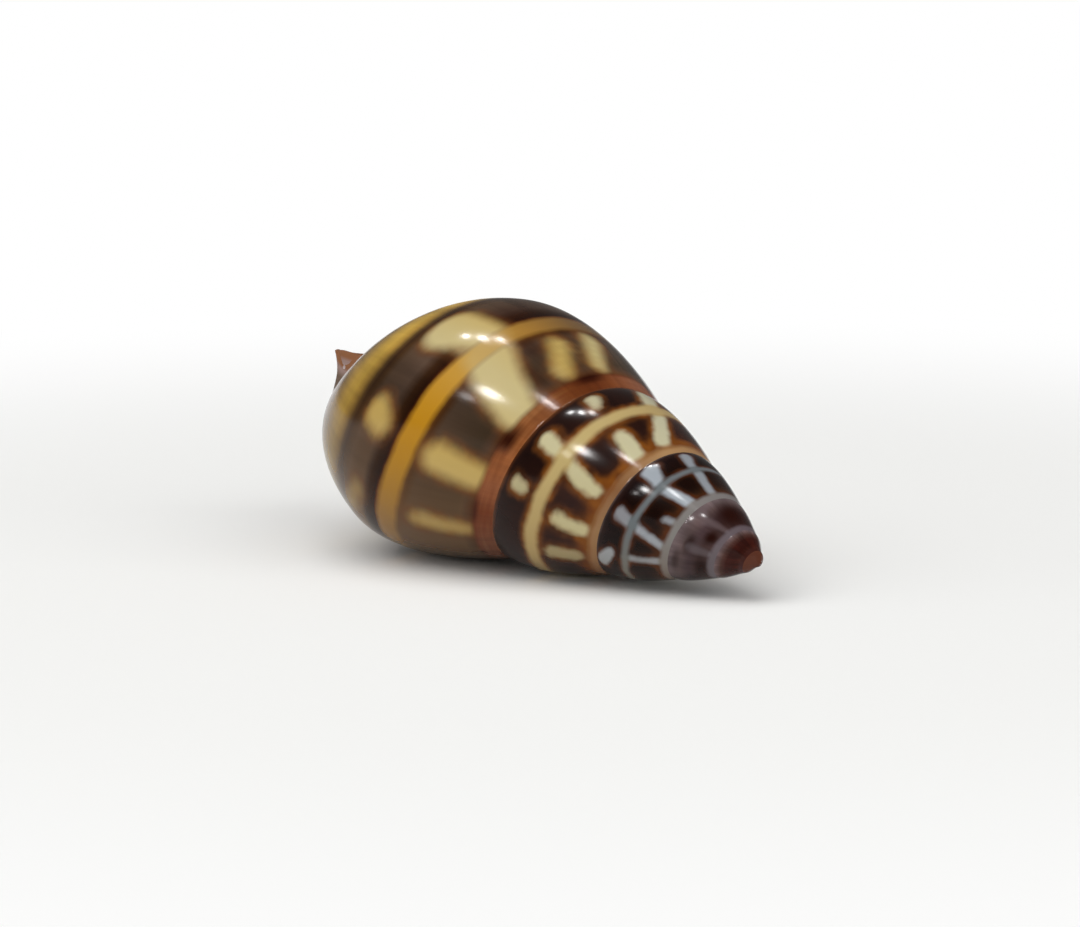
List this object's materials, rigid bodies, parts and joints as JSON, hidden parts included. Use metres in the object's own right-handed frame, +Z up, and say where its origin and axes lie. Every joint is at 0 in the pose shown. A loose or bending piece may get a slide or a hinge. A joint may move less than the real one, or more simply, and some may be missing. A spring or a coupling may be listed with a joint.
{
  "type": "land snail shell",
  "caption": "Glossy left-coiling conical shell of a tree snail, empty, lying on its back with the open mouth upwards.",
  "frame": {"origin": "on the surface it rests on, under the middle of its outline seen from above", "axes": "+X towards the apex, along the shell's length; +Z up, the way the mouth faces; +Y to the side that the mouth leans to"},
  "size_m": [0.0318, 0.0166, 0.0137],
  "materials": {
    "shell": "glossy shell with brown and cream spiral bands"
  },
  "bodies": {
    "root": {"shell": "shell"}
  },
  "joints": []
}
